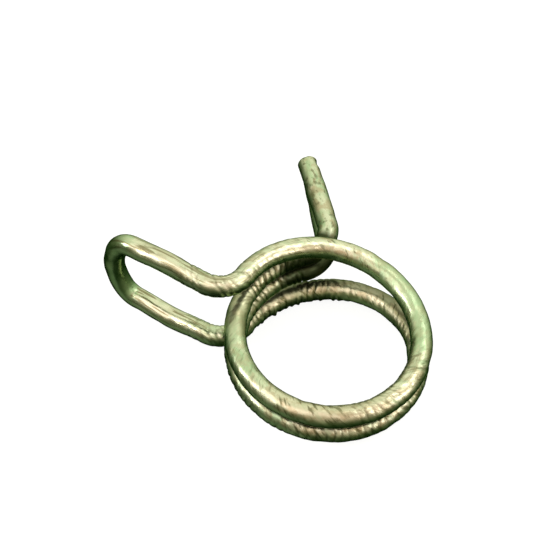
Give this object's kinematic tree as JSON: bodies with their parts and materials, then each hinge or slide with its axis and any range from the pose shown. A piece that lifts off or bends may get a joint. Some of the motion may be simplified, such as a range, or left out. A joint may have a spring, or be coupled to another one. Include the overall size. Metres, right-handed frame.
{
  "type": "double-wire spring hose clamp",
  "caption": "Spring clamp for flexible tubing, bent from one round wire: a coil with a hairpin loop and two tails to squeeze.",
  "frame": {"origin": "middle of the coil, on its axis and half way up it", "axes": "+Z along the coil's axis; the loop points to -X and a little to +Y, and the tails point to +Y"},
  "size_m": [0.0224, 0.0222, 0.0075],
  "materials": {
    "zinc_wire": "pale yellow-green zinc plating on spring steel wire, satin, with fine drawing and bending marks"
  },
  "bodies": {
    "root": {"clamp_wire": "zinc_wire"}
  },
  "joints": []
}
